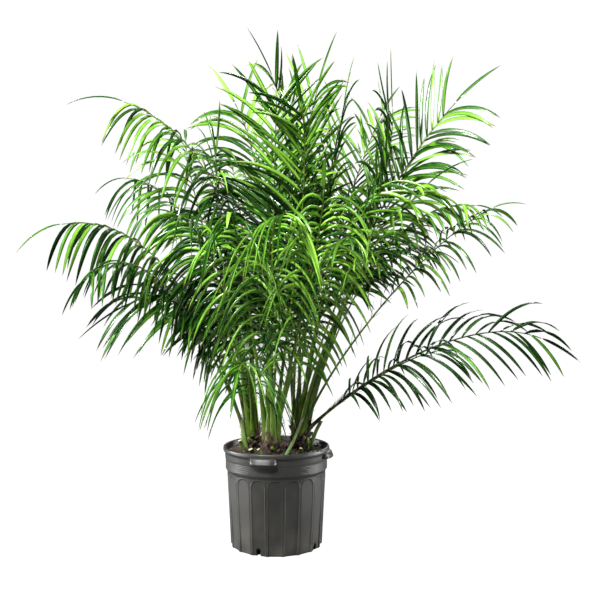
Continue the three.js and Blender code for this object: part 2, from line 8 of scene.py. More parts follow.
import bmesh
import bpy
import numpy as np
from mathutils import Matrix, Quaternion, Vector, noise


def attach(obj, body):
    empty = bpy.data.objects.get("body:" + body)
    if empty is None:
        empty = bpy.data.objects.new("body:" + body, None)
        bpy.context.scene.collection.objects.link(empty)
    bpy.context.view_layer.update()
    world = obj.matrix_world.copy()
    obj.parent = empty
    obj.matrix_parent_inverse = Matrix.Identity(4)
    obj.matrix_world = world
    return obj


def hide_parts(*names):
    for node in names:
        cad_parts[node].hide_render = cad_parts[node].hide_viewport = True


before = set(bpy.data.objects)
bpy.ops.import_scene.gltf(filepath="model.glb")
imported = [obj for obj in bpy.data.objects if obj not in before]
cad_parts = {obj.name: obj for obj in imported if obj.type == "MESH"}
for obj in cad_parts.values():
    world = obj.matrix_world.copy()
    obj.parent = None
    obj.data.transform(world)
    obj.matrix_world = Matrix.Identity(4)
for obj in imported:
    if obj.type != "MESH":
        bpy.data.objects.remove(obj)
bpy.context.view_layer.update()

METRES = 0.001
UP = Vector((0, 0, 1))
FRONT = Vector((0, -1, 0))
GOLDEN_ANGLE = 137.5

# Seeds of the noise and the random draws; the trunks and fronds count on from theirs
NOISE_SEED = 4
SOIL_SEED = 11
TRUNK_SEED = 50
FROND_SEED = 200

# Pot, in the sizes of its solid; its panels and ribs are laid on the outside of the wall only
FLAT_BASE_RADIUS = 60
BASE_RADIUS = 114
WALL_TOP_RADIUS = 124
BAND_RADIUS = 128
BAND_BOTTOM = 194
WALL = 3.5
FLOOR = 4
PANEL_COUNT = 18
PANEL_WIDTH = 34
PANEL_TOP = 183
PANEL_ZONE_TOP = 190
PANEL_ARM = 120
PANEL_DEPTH = 1.5
FOOT_PANEL_DEPTH = 3
PANEL_DEPTH_CHANGE = (10, 130)
BEAD_HEIGHT = 0.75
BEAD_WIDTH = 0.7
OUTSIDE_DEPTH = 3.2
LUG_ANGLES = (-13, 77, 212)
LUG_WIDTH = 68
NOTCH_ANGLES = (-21, 59, 159, 239)
NOTCH_WIDTH = 11
NOTCH_HEIGHT = 18
PLUG_SIDES = 20
PLUG_DEPTH = 20
PLUG_INSET = 5
PLUG_FOOT = -4

# Thin ribs on the band, in groups that are spaced in degrees round the pot
RIB_LEVELS = (197.5, 202, 206.5, 211, 215)
RIB_ZONE_TOP = 217
RIB_HEIGHT = 0.35
RIB_WIDTH = 1.1
RIB_GROUP_PITCH = 72
RIB_GROUP_TURN = 75
RIB_GROUP_ENDS = (8.5, 11.5)

# Soil: its swells as height and width, crumbs and granules as count, least and greatest size
SOIL_TOP = 234
SOIL_RISE = 2.5
SOIL_FALL = (20, 115)
SOIL_SWELLS = ((3.5, 38), (2, 13), (1.2, 5))
SOIL_SIDES = 160
CRUMB_REACH = 118
CRUMBS = (420, 1.5, 5.5)
GRANULES = (26, 1.2, 2.8)

# Trunks
TRUNK_BOTTOM = 190
TRUNK_SIDES = 40
TRUNK_ROUGHNESS = 2.2
LUMP_HEIGHT = 2.2
LUMP_WIDTH = 6
GRIT_HEIGHT = 0.8
GRIT_WIDTH = 2
STUB_COUNT = 22
STUB_SIDES = 10
FIBRE_COUNT = 190
FIBRE_THICKNESS = 0.35
CUT_STALK_SIDES = 12
TRUNKS = {
    "left": {"x": -65, "y": 30, "radius": 17, "crown_radius": 25, "crown_height": 278},
    "middle": {"x": -12, "y": -38, "radius": 17, "crown_radius": 24, "crown_height": 272},
    "right": {"x": 62, "y": 34, "radius": 19, "crown_radius": 27, "crown_height": 284},
}

# Stalks and their midribs
STALK_WIDTH = 8
TIP_WIDTH = 2.4
STALK_SIDES = 10
STALK_STEPS = 30
STALK_END = 0.995
FOOT_FLARE = 4.8
FOOT_FLARE_LENGTH = 110
CHANNEL_DEPTH = 0.35
SHORTEST_SHEATH = 20
SEAT_SPACING = 11.5
SEAT_MARGIN = 5
SEAT_SPREAD = 1.6
FIRST_HANDLE = 0.32
ROUTE_MARGIN = 7
SEAT_ROUNDS = 300
BEND_ROUNDS = 80
BEND_STEPS = 30
ROUTE_STEPS = 200
FRAME_STEP = 0.004

# The sheath of a stalk, from its foot up: share of its depth, half width and half height
SHEATH_SECTIONS = ((1, 3, 2), (0.93, 7, 4), (0.8, 9, 5), (0.6, 9.6, 5.6), (0.4, 9.8, 5.8), (0.2, 9.6, 5.8))

# Leaflets and spines
LEAFLET_LENGTH = 200
LEAFLET_WIDTH = 10.5
LEAFLET_STEPS = 9
BLADE_THICKNESS = 0.5
STIFF_RAISE = 32
SAG_DROP = 10
STIFF_SAG = 1
SOFT_SAG = 2.4
STIFF_SPREAD = 47
SOFT_SPREAD = 70
LAST_SPREAD = 34
LAST_PAIR = 0.965
LAST_LEAFLET_LENGTH = 0.85
LAST_LEAFLET_SAG = 0.25
LAST_LEAFLET_HALF = 5
LAST_LEAFLET_FOLD = 0.45
LAST_LEAFLET_STEPS = 8
SPINE_COUNT = 7
SPINE_REACH = (0.42, 0.97)
SPINE_LENGTHS = (22, 62)
SPINE_HALF = 1.1
SPINE_FOLD = 0.5
SPINE_SAG = 0.06
SPINE_STEPS = 3
LEAFLET_SPACING = 21
SPARSE_FRONDS = {"right_low_long": 30, "right_low_second": 28, "front_low": 28, "left_high": 24}
LOWEST_LEAF = 262

# Inside the canopy the leaflets get painted shade: they are darker, up to a share of their frond's tone
CANOPY_CENTRE = Vector((0, 80, 660))
CANOPY_SQUASH = (1.35, 0.9)
CANOPY_EDGES = (150, 400)
SHADED_TONE = 0.1

# Each frond: its name, the trunk that it grows on, a point that its midrib passes, its tip,
# the roll of its blade in degrees, leaflet size, sag, bare share of the midrib and tone, from
# 0 for dark leaves to 1 for bright ones, partly by the leaves' age and partly as painted shade
FRONDS = (
    ("left_high", "left", (-225, -30, 975), (-378, -60, 1104), -30, 1.05, 3.2, 0.27, 0.48),
    ("left_back", "left", (-280, 110, 875), (-425, 200, 950), -10, 1.0, 3.2, 0.3, 0.38),
    ("left_long", "left", (-390, -60, 815), (-515, -110, 797), -25, 0.95, 4.0, 0.28, 0.26),
    ("left_arch", "left", (-365, -130, 705), (-435, -210, 658), -15, 0.72, 3.0, 0.35, 0.18),
    ("left_dark", "left", (-195, 20, 520), (-375, 20, 605), -35, 1.22, 1.6, 0.46, 0.0),
    ("left_front", "left", (-150, -130, 720), (-225, -270, 810), 0, 0.95, 2.4, 0.3, 0.6),
    ("left_inner", "left", (-190, 80, 880), (-250, 140, 1045), -20, 1.1, 2.2, 0.3, 0.6),
    ("left_back_low", "left", (-190, 235, 570), (-325, 385, 640), 0, 0.85, 2.0, 0.42, 0.15),
    ("back_left", "left", (-150, 190, 700), (-260, 370, 880), 0, 0.95, 2.0, 0.3, 0.3),
    ("top_back_left", "left", (-110, 140, 820), (-140, 270, 1010), 0, 0.9, 2.4, 0.35, 0.5),
    ("top_left", "left", (-135, -25, 805), (-145, -70, 1010), -30, 0.9, 1.6, 0.35, 0.6),
    ("front_low", "left", (-62, -150, 446), (-72, -300, 466), 0, 1.06, 3.0, 0.35, 0.6),
    ("front_left", "middle", (-60, -160, 660), (-85, -360, 800), 0, 1.0, 3.4, 0.3, 0.75),
    ("front_centre", "middle", (10, -180, 690), (40, -400, 800), 0, 1.1, 3.6, 0.35, 0.9),
    ("front_centre_right", "middle", (50, -160, 680), (110, -330, 855), 0, 1.0, 3.0, 0.3, 0.9),
    ("front_high", "middle", (40, -110, 850), (62, -240, 1060), 0, 1.0, 0.9, 0.3, 0.6),
    ("front_top", "middle", (-5, -90, 850), (5, -170, 1110), 0, 1.0, 0.8, 0.35, 0.5),
    ("top_arch", "middle", (-30, 10, 830), (-110, 40, 1125), -45, 0.95, 1.5, 0.35, 0.5),
    ("top_bright", "middle", (40, -60, 880), (105, -100, 1135), 60, 1.0, 1.1, 0.35, 0.65),
    ("back_centre", "middle", (10, 110, 760), (10, 300, 1010), 0, 0.95, 1.6, 0.3, 0.35),
    ("right_front_low", "middle", (115, -150, 640), (165, -310, 750), 0, 0.6, 2.8, 0.55, 0.8),
    ("top_tall", "right", (48, 70, 900), (-15, 60, 1200), 0, 1.05, 1.1, 0.35, 0.6),
    ("top_right", "right", (128, 20, 850), (172, 10, 1105), 30, 1.0, 1.2, 0.3, 0.55),
    ("top_right_front", "right", (222, -30, 850), (285, -80, 1085), 20, 1.1, 1.1, 0.42, 0.55),
    ("top_back", "right", (60, 190, 780), (50, 380, 1050), 0, 0.95, 1.6, 0.3, 0.35),
    ("right_back_high", "right", (195, 160, 845), (290, 260, 1135), 10, 1.0, 1.2, 0.3, 0.5),
    ("right_inner", "right", (280, 80, 835), (368, 130, 1000), 20, 1.2, 1.4, 0.45, 0.5),
    ("right_high", "right", (325, 0, 905), (450, -30, 1110), 60, 1.06, 1.3, 0.38, 0.35),
    ("right_arch", "right", (345, -65, 815), (478, -130, 840), 15, 0.6, 2.4, 0.5, 0.6),
    ("right_bright", "right", (262, -120, 780), (345, -240, 875), 10, 0.88, 1.9, 0.54, 0.85),
    ("right_long", "right", (340, 20, 700), (555, 20, 850), 25, 0.75, 2.0, 0.55, 0.42),
    ("right_second", "right", (265, 70, 700), (430, 140, 745), 15, 0.6, 1.8, 0.55, 0.3),
    ("right_low_long", "right", (430, -60, 515), (655, -60, 520), 58, 0.92, 1.4, 0.18, 0.0),
    ("right_low_second", "right", (280, 50, 425), (450, 100, 480), 30, 0.8, 1.8, 0.3, 0.1),
    ("right_front", "right", (185, -150, 750), (255, -300, 870), 0, 0.85, 1.6, 0.6, 0.8),
    ("right_back", "right", (240, 210, 720), (390, 340, 820), 0, 0.85, 1.6, 0.55, 0.3),
    ("back_right_low", "right", (15, 230, 600), (5, 430, 710), 0, 0.85, 2.0, 0.35, 0.2),
)

# Stalks that were cut off: the trunk, foot, end and half width
CUT_STALKS = (
    ("left", (-54, -30, 228), (-63, -46, 246), 6.5),
    ("left", (-80, 2, 228), (-92, -14, 262), 5),
    ("left", (-76, 6, 228), (-86, 10, 316), 6),
    ("middle", (22, -70, 230), (66, -26, 322), 3.4),
    ("middle", (-30, -66, 230), (-42, -76, 252), 4.5),
    ("right", (84, 8, 230), (114, 8, 308), 5.5),
    ("right", (54, -40, 230), (62, -54, 250), 4.5),
    ("right", (76, -52, 230), (92, -50, 242), 3.5),
)

# Colours of the pot and the soil; a pair goes from dark to light
PLASTIC = ((0.0112, 0.0109, 0.0092, 1), (0.0176, 0.0171, 0.0148, 1))
DUST = (0.13, 0.115, 0.09, 1)
DUST_REACH = 0.09
POTTING_MIX = ((0.007, 0.0045, 0.003, 1), (0.034, 0.02, 0.011, 1))
MIX_FIBRE = (0.06, 0.038, 0.022, 1)
GRANULE = ((0.42, 0.38, 0.3, 1), (0.8, 0.78, 0.7, 1))

# Colours of the trunks
BARK = ((0.006, 0.004, 0.003, 1), (0.038, 0.014, 0.009, 1))
BARK_GRAIN = (0.07, 0.036, 0.018, 1)
GRAIN_SCALE = (900, 900, 60)
SHEATH_FIBRE = ((0.045, 0.008, 0.009, 1), (0.095, 0.042, 0.024, 1))
OLD_STALK = ((0.05, 0.1, 0.012, 1), (0.095, 0.14, 0.025, 1))
DRY_STALK = (0.035, 0.02, 0.012, 1)
CUT_FACE = ((0.3, 0.24, 0.09, 1), (0.72, 0.66, 0.4, 1))

# Colours of the fronds
STALK_GREEN = ((0.006, 0.018, 0.002, 1), (0.055, 0.12, 0.009, 1))
STALK_PATCH = (0.1, 0.14, 0.014, 1)
STALK_FOOT = (0.12, 0.18, 0.03, 1)
OLD_AND_SHADED_LEAF = (0.0003, 0.004, 0.0002, 1)
GROWN_LEAF = (0.008, 0.055, 0.0012, 1)
YOUNG_LEAF = (0.19, 0.41, 0.04, 1)
LEAF_FOLD_HIGHLIGHT = (0.25, 0.45, 0.05, 1)
LEAF_EDGE = (0.0008, 0.012, 0.0004, 1)
LEAF_VEIN = (0.01, 0.07, 0.004, 1)
LEAF_TIP = (0.2, 0.13, 0.045, 1)
LEAF_SHEEN = (0.4, 1, 0.3, 1)
LEAF_GLOW = (0.4, 1.0, 0.15)
VEIN_TURNS = 34.0

# How far a leaflet's own tint and its mottling make it younger, and what is taken off again from their sum
# with its tone, which is partly painted shade
TINT_RANGE = 0.95
MOTTLE_RANGE = 0.5
YOUTH_AND_SHADE_OFFSET = 0.71

# Places of the other materials of a frond and of a trunk
STALK_PLACE = 1
FIBRE_PLACE = 1
OLD_STALK_PLACE = 2
CUT_FACE_PLACE = 3

# Studio: the floor in millimetres, the glow all round, and each lamp in metres, with its place,
# what it points at, the side of its square face, its power and its spread in degrees
FLOOR_GREY = (0.12, 0.12, 0.12, 1)
FLOOR_GLOW = 1.42
FLOOR_GLOW_SHARE = 0.72
FLOOR_HALF = 8000
FLOOR_DROP = 0.5 * METRES
WORLD_GLOW = 0.01
LAMPS = (
    ("key_light", (-1.3, -2.0, 2.9), (0, 0, 0.8), 0.4, 480, 180),
    ("top_light", (0.8, 0.5, 3.3), (0, 0, 0.8), 0.6, 80, 180),
    ("front_light", (0.2, -2.8, 0.9), (0, 0, 0.72), 0.5, 0.45, 24),
    ("left_light", (-1.9, 0.1, 0.34), (0, 0, 0.15), 0.5, 2.5, 30),
    ("right_light", (1.9, 0.2, 0.34), (0, 0, 0.15), 0.5, 2.3, 30),
    ("back_light", (1.0, 2.6, 1.9), (0, 0, 0.6), 1.2, 40, 180),
)

# Camera: its place in metres, film and lens in millimetres, and the shift of the picture
CAMERA_PLACE = (0.0595, -2.06, 0.640)
FILM_WIDTH = 36
LENS = 48.84
PICTURE_SHIFT = -10 / 600


def lerp(a, b, t):
    return a + (b - a) * t


def smooth(value, low, high):
    t = min(1, max(0, (value - low) / (high - low)))
    return t * t * (3 - 2 * t)


def perpendicular(vector, axis):
    return (vector - axis * vector.dot(axis)).normalized()


def append_mesh(bm, other):
    """Adds one bmesh to another and frees it."""
    scratch = bpy.data.meshes.new("scratch")
    other.to_mesh(scratch)
    other.free()
    bm.from_mesh(scratch)
    bpy.data.meshes.remove(scratch)


# Finished pieces
def add_object(bm, name):
    """Brings a bmesh to metres and puts it into the scene as an object."""
    bmesh.ops.transform(bm, matrix=Matrix.Scale(METRES, 4), verts=bm.verts)
    mesh = bpy.data.meshes.new(name)
    bm.to_mesh(mesh)
    bm.free()
    added = bpy.data.objects.new(name, mesh)
    bpy.context.scene.collection.objects.link(added)
    return added


def finish_piece(bm, name, nodes, materials):
    piece = add_object(bm, name)
    for material in materials:
        piece.data.materials.append(material)
    piece.data.shade_smooth()
    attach(piece, "root")
    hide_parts(*nodes)
    return piece


def paint_faces(bm, first, place):
    """Gives a bmesh's faces, from the first one on, the material at a place."""
    bm.faces.ensure_lookup_table()
    for face in bm.faces[first:]:
        face.material_index = place


# Material building blocks
def new_group(name, inputs, outputs):
    group = bpy.data.node_groups.new(name, "ShaderNodeTree")
    for way, labels in (("INPUT", inputs), ("OUTPUT", outputs)):
        for label in labels:
            group.interface.new_socket(name=label, in_out=way, socket_type="NodeSocketFloat")
    return group, group.nodes.new("NodeGroupInput"), group.nodes.new("NodeGroupOutput")


def add_node(tree, kind, **settings):
    node = tree.nodes.new(kind)
    for key, value in settings.items():
        setattr(node, key, value)
    return node


def feed(tree, node, values):
    """Links outputs into a node's inputs, or sets the inputs to plain values."""
    for key, value in values.items():
        if isinstance(value, bpy.types.NodeSocket):
            tree.links.new(value, node.inputs[key])
        else:
            node.inputs[key].default_value = value


def math_node(tree, operation, *values):
    node = add_node(tree, "ShaderNodeMath", operation=operation)
    feed(tree, node, dict(enumerate(values)))
    return node.outputs[0]


def mix_node(tree, factor, first, second):
    """Mixes two colours, whose sockets are the seventh and eighth of the node."""
    node = add_node(tree, "ShaderNodeMix", data_type="RGBA")
    feed(tree, node, {0: factor, 6: first, 7: second})
    return node.outputs[2]


def noise_group():
    """Soft mottling in two sizes, read from the object's own place."""
    group, start, end = new_group("mottling", ("Scale", "Fine Scale"), ("Broad", "Fine"))
    place = add_node(group, "ShaderNodeTexCoord")
    for output, scale in (("Broad", "Scale"), ("Fine", "Fine Scale")):
        texture = add_node(group, "ShaderNodeTexNoise")
        feed(group, texture, {"Vector": place.outputs["Object"], "Scale": start.outputs[scale], "Detail": 4})
        feed(group, end, {output: texture.outputs["Fac"]})
    return group


MOTTLING = noise_group()


def new_material(name):
    material = bpy.data.materials.new(name)
    material.use_nodes = True
    return material, material.node_tree, material.node_tree.nodes["Principled BSDF"]


def mottle(tree, scale, fine_scale):
    node = add_node(tree, "ShaderNodeGroup", node_tree=MOTTLING)
    feed(tree, node, {"Scale": scale, "Fine Scale": fine_scale})
    return node.outputs["Broad"], node.outputs["Fine"]


def add_bump(tree, shader, height, strength, distance):
    bump = add_node(tree, "ShaderNodeBump")
    feed(tree, bump, {"Height": height, "Strength": strength, "Distance": distance})
    feed(tree, shader, {"Normal": bump.outputs["Normal"]})


def stretch(tree, value, low, high):
    """Runs from 0 to 1 while the value goes from low to high."""
    node = add_node(tree, "ShaderNodeMapRange")
    feed(tree, node, {"Value": value, "From Min": low, "From Max": high})
    return node.outputs["Result"]


def paint_over(tree, colour, paint, mask, amount):
    """Lays a paint over a colour as far as the mask and the amount say."""
    return mix_node(tree, math_node(tree, "MULTIPLY", mask, amount), colour, paint)


def set_surface(tree, shader, colour, roughness, specular=0.5):
    feed(tree, shader, {"Base Color": colour, "Roughness": roughness, "Specular IOR Level": specular})


def mottled_material(name, scales, reach, colours, roughness, bump):
    """A plain finish that changes softly between two colours."""
    material, tree, shader = new_material(name)
    broad, fine = mottle(tree, *scales)
    set_surface(tree, shader, mix_node(tree, stretch(tree, broad, *reach), *colours), roughness)
    add_bump(tree, shader, fine, *bump)
    return material


def plastic_material():
    """Recycled dark plastic: a soft sheen, faint mottling and a little dust low down."""
    material, tree, shader = new_material("nursery_plastic")
    broad, fine = mottle(tree, 18, 700)
    place = add_node(tree, "ShaderNodeTexCoord")
    apart = add_node(tree, "ShaderNodeSeparateXYZ")
    feed(tree, apart, {0: place.outputs["Object"]})
    colour = mix_node(tree, stretch(tree, broad, 0.35, 0.7), *PLASTIC)
    low = stretch(tree, apart.outputs["Z"], DUST_REACH, 0.0)
    dust = math_node(tree, "MULTIPLY", low, stretch(tree, broad, 0.4, 0.8))
    colour = paint_over(tree, colour, DUST, dust, 0.3)
    set_surface(tree, shader, colour, math_node(tree, "MULTIPLY_ADD", broad, 0.16, 0.4), 0.45)
    add_bump(tree, shader, fine, 0.12, 0.0006)
    return material


def soil_material():
    """Moist bark mix: dark crumbs with lighter brown fibres."""
    material, tree, shader = new_material("potting_mix")
    broad, fine = mottle(tree, 90, 600)
    colour = mix_node(tree, stretch(tree, broad, 0.35, 0.65), *POTTING_MIX)
    colour = mix_node(tree, stretch(tree, fine, 0.6, 0.75), colour, MIX_FIBRE)
    set_surface(tree, shader, colour, 0.9)
    add_bump(tree, shader, fine, 0.6, 0.002)
    return material


def granule_material():
    """Chalky mineral granules in the mix."""
    return mottled_material("pale_granule", (300, 900), (0, 1), GRANULE, 0.85, (0.4, 0.0006))


def bark_material():
    """Old leaf bases: near-black brown, reddish where the fibre is fresh, grained lengthwise."""
    material, tree, shader = new_material("fibrous_trunk")
    broad, _ = mottle(tree, 60, 500)
    place = add_node(tree, "ShaderNodeTexCoord")
    along = add_node(tree, "ShaderNodeMapping")
    feed(tree, along, {"Vector": place.outputs["Object"], "Scale": GRAIN_SCALE})
    grain = add_node(tree, "ShaderNodeTexNoise")
    feed(tree, grain, {"Vector": along.outputs["Vector"], "Scale": 1})
    strands = grain.outputs["Fac"]
    colour = mix_node(tree, stretch(tree, broad, 0.4, 0.65), *BARK)
    colour = mix_node(tree, stretch(tree, strands, 0.5, 0.8), colour, BARK_GRAIN)
    set_surface(tree, shader, colour, 0.85)
    add_bump(tree, shader, strands, 0.7, 0.0012)
    return material


def fibre_material():
    """Loose sheath fibre: red-brown threads, paler where they are dry."""
    return mottled_material("sheath_fibre", (70, 900), (0.35, 0.7), SHEATH_FIBRE, 0.75, (0.3, 0.0004))


Growth = namedtuple("Growth", "along out tint tone")


def growth_channels(tree):
    """Along the blade, out from its fold, its own tint, and its frond's tone."""
    attribute = add_node(tree, "ShaderNodeAttribute", attribute_name="growth")
    apart = add_node(tree, "ShaderNodeSeparateColor")
    feed(tree, apart, {"Color": attribute.outputs["Color"]})
    along, out, tint = (apart.outputs[channel] for channel in ("Red", "Green", "Blue"))
    return Growth(along, out, tint, attribute.outputs["Alpha"])


def old_stalk_material():
    """Stubs of old stalks: olive that has dulled, brown where they dried."""
    material, tree, shader = new_material("old_stalk")
    growth = growth_channels(tree)
    broad, fine = mottle(tree, 60, 500)
    colour = mix_node(tree, stretch(tree, broad, 0.4, 0.65), *OLD_STALK)
    top = math_node(tree, "MULTIPLY_ADD", broad, 0.5, growth.along)
    colour = mix_node(tree, stretch(tree, top, 0.95, 1.2), colour, DRY_STALK)
    set_surface(tree, shader, colour, 0.6)
    add_bump(tree, shader, fine, 0.3, 0.0005)
    return material


def cut_face_material():
    """The pale inside of a stalk where it was cut."""
    return mottled_material("cut_face", (200, 900), (0, 1), CUT_FACE, 0.7, (0.3, 0.0004))


def leaflet_material():
    """Glossy leaflets: dark to bright by age and painted shade, with a painted highlight along the fold, dark
    at the edge, finely veined and straw at the tip.
    """
    material, tree, shader = new_material("leaflet")
    growth = growth_channels(tree)
    broad, fine = mottle(tree, 25, 500)
    # Youth and painted shade together: the tone brings in the frond's age and painted shade, and the darkest
    # colour serves old leaves and shaded ones alike
    youth_and_shade = math_node(tree, "MULTIPLY_ADD", growth.tint, TINT_RANGE, growth.tone)
    youth_and_shade = math_node(tree, "MULTIPLY_ADD", broad, MOTTLE_RANGE, youth_and_shade)
    youth_and_shade = math_node(tree, "SUBTRACT", youth_and_shade, YOUTH_AND_SHADE_OFFSET)
    colour = mix_node(tree, stretch(tree, youth_and_shade, 0.0, 0.5), OLD_AND_SHADED_LEAF, GROWN_LEAF)
    colour = mix_node(tree, stretch(tree, youth_and_shade, 0.45, 1.1), colour, YOUNG_LEAF)
    # Painted highlight along the fold
    fold = stretch(tree, growth.out, 0.22, 0.0)
    glint = math_node(tree, "MULTIPLY", fold, stretch(tree, youth_and_shade, -0.1, 0.9))
    colour = paint_over(tree, colour, LEAF_FOLD_HIGHLIGHT, glint, 0.7)
    colour = paint_over(tree, colour, LEAF_EDGE, stretch(tree, growth.out, 0.5, 1.0), 0.5)
    veins = math_node(tree, "SINE", math_node(tree, "MULTIPLY", growth.out, VEIN_TURNS))
    colour = paint_over(tree, colour, LEAF_VEIN, stretch(tree, veins, 0.2, 1.0), 0.12)
    end = math_node(tree, "MULTIPLY_ADD", growth.tint, 0.06, growth.along)
    colour = paint_over(tree, colour, LEAF_TIP, stretch(tree, end, 0.95, 1.02), 0.8)
    set_surface(tree, shader, colour, math_node(tree, "MULTIPLY_ADD", fine, 0.2, 0.26), 0.2)
    feed(tree, shader, {"Specular Tint": LEAF_SHEEN, "Coat Weight": 0.35, "Coat Roughness": 0.18})
    feed(tree, shader, {"Subsurface Weight": 0.06, "Subsurface Radius": LEAF_GLOW, "Subsurface Scale": 0.004})
    add_bump(tree, shader, veins, 0.25, 0.0003)
    return material


def stalk_material():
    """Smooth stalks: olive green in soft patches, paler at the foot."""
    material, tree, shader = new_material("leaf_stalk")
    growth = growth_channels(tree)
    broad, fine = mottle(tree, 45, 600)
    # The stalk's green follows its frond's tone, which is partly age and partly painted shade
    colour = mix_node(tree, growth.tone, *STALK_GREEN)
    colour = mix_node(tree, stretch(tree, broad, 0.45, 0.75), colour, STALK_PATCH)
    foot = math_node(tree, "MULTIPLY_ADD", broad, 0.08, growth.along)
    colour = paint_over(tree, colour, STALK_FOOT, stretch(tree, foot, 0.14, 0.03), 0.7)
    set_surface(tree, shader, colour, 0.38, 0.25)
    add_bump(tree, shader, fine, 0.12, 0.0004)
    return material


# Pot
def spin_profile(bm, profile, steps):
    verts = [bm.verts.new((radius, 0, height)) for radius, height in profile]
    edges = [bm.edges.new(pair) for pair in zip(verts, verts[1:])]
    bmesh.ops.spin(bm, geom=verts + edges, cent=(0, 0, 0), axis=UP, dvec=(0, 0, 0),
                   angle=math.tau, steps=steps, use_merge=True, use_duplicate=False)
    bmesh.ops.remove_doubles(bm, verts=bm.verts, dist=1e-3)
    bmesh.ops.recalc_face_normals(bm, faces=bm.faces)


def panel_relief(across, height, radius):
    """How far the wall stands in (negative) or out at a point of one of its arched panels."""
    half = PANEL_WIDTH / 2
    rise = max(0, height - (PANEL_TOP - half))
    edge = math.hypot(across, rise) - half
    depth = lerp(FOOT_PANEL_DEPTH, PANEL_DEPTH, smooth(height, *PANEL_DEPTH_CHANGE))
    sunk = (radius - depth) * math.hypot(1, across / radius) - radius
    bead = BEAD_HEIGHT * math.exp(-((edge - BEAD_WIDTH) / BEAD_WIDTH) ** 2)
    return lerp(sunk, 0, smooth(edge, -BEAD_WIDTH, 0.4)) + bead


def band_relief(angle, height):
    """Thin ribs in each of five short groups round the band."""
    place = (math.degrees(angle) + RIB_GROUP_TURN) % RIB_GROUP_PITCH - RIB_GROUP_PITCH / 2
    group = 1 - smooth(abs(place), *RIB_GROUP_ENDS)
    ribs = max(math.exp(-((height - level) / RIB_WIDTH) ** 2) for level in RIB_LEVELS)
    return RIB_HEIGHT * group * ribs


def pot_profile():
    """The wall's radii and levels, from the middle of the base over the lip and down inside."""
    rows = [(0, 0), (FLAT_BASE_RADIUS, 0), (BASE_RADIUS - 3, 0)]
    rows += [(BASE_RADIUS - 1.2, 0.5), (BASE_RADIUS - 0.3, 1.6)]
    heights = [3, 8, 14, 20] + list(range(32, 160, 16)) + list(range(162, 186))
    rows += [(lerp(BASE_RADIUS, WALL_TOP_RADIUS, z / BAND_BOTTOM), z) for z in heights]
    rows += [(123.9, 187), (124.6, 188.5), (125.4, 190), (126.3, 191.5), (127.2, 193)]
    rows += [(BAND_RADIUS, 194.5 + 0.75 * step) for step in range(30)]
    rows += [(128.3, 218), (128.9, 220.5), (129.4, 225), (129.8, 231), (130.2, 235.6)]
    rows += [(130.6, 236.3), (131.6, 236.8), (133, 237.5), (133.8, 238.7), (134, 240.5), (133.9, 245.6)]
    rows += [(133.4, 247.6), (132.4, 248.6), (131, 249), (129.4, 248.9), (128.4, 248.1), (127.7, 246)]
    rows += [(126.6, 241), (BAND_RADIUS - WALL, 236), (BAND_RADIUS - WALL, BAND_BOTTOM)]
    rows += [(WALL_TOP_RADIUS - WALL, 190), (BASE_RADIUS - WALL, FLOOR), (0, FLOOR)]
    return rows


# Columns of the wall in a panel's pitch, and their places in half of it, closest at its edge
COLUMNS = 30
COLUMN_PLACES = (0, 0.17, 0.34, 0.5, 0.62, 0.7, 0.745, 0.775, 0.8, 0.825, 0.85, 0.875, 0.905, 0.94, 0.97, 1)


def shape_wall(bm):
    """Moves the wall's columns to the panels' edges and gives the wall its relief."""
    pitch = math.tau / PANEL_COUNT
    for vert in bm.verts:
        radius = math.hypot(vert.co.x, vert.co.y)
        if radius < 1:
            continue
        height = vert.co.z
        angle = math.atan2(vert.co.x, -vert.co.y)
        panel = round(angle / pitch)
        column = round((angle / pitch - panel) * COLUMNS)
        local = math.copysign(COLUMN_PLACES[abs(column)], column) * pitch / 2
        angle = panel * pitch + local
        plain = lerp(BASE_RADIUS, WALL_TOP_RADIUS, height / BAND_BOTTOM)
        out = 0
        if height < PANEL_ZONE_TOP and radius > max(plain - OUTSIDE_DEPTH, FLAT_BASE_RADIUS):
            out = panel_relief(PANEL_ARM * math.sin(local), height, radius)
        elif BAND_BOTTOM < height < RIB_ZONE_TOP and radius > BAND_RADIUS - 1:
            out = band_relief(angle, height)
        vert.co.x = (radius + out) * math.sin(angle)
        vert.co.y = -(radius + out) * math.cos(angle)


# A lug from the lip down and back under: how far it stands out of the band, and its level
LUG_COLUMNS = 32
LUG_ROOT = 1.5
LUG_SECTION = ((-1.5, 241), (7, 240.2), (10.5, 238.6), (12.6, 235.6), (14.2, 231.6), (15.8, 228),
               (16.8, 225.8), (16.2, 224.6), (12, 224.2), (-1.5, 225.5))


def add_lug(bm, angle):
    """A lifting lug: a smooth tongue under the lip that flares out towards its foot."""
    fresh = bmesh.new()
    rows = len(LUG_SECTION) - 1
    verts = bmesh.ops.create_grid(fresh, x_segments=LUG_COLUMNS, y_segments=rows, size=1)["verts"]
    for vert in verts:
        side = math.sin(vert.co.x * math.pi / 2)
        stand, level = LUG_SECTION[round((vert.co.y + 1) / 2 * rows)]
        swell = max(0, 1 - abs(side) ** 4.5) ** 0.6
        radius = BAND_RADIUS - LUG_ROOT + (stand + LUG_ROOT) * swell
        turn = math.radians(angle) + side * LUG_WIDTH / 2 / BAND_RADIUS
        vert.co = (radius * math.sin(turn), -radius * math.cos(turn), level)
    rim = [edge for edge in fresh.edges if edge.is_boundary]
    bmesh.ops.holes_fill(fresh, edges=rim, sides=0)
    bmesh.ops.recalc_face_normals(fresh, faces=fresh.faces)
    append_mesh(bm, fresh)


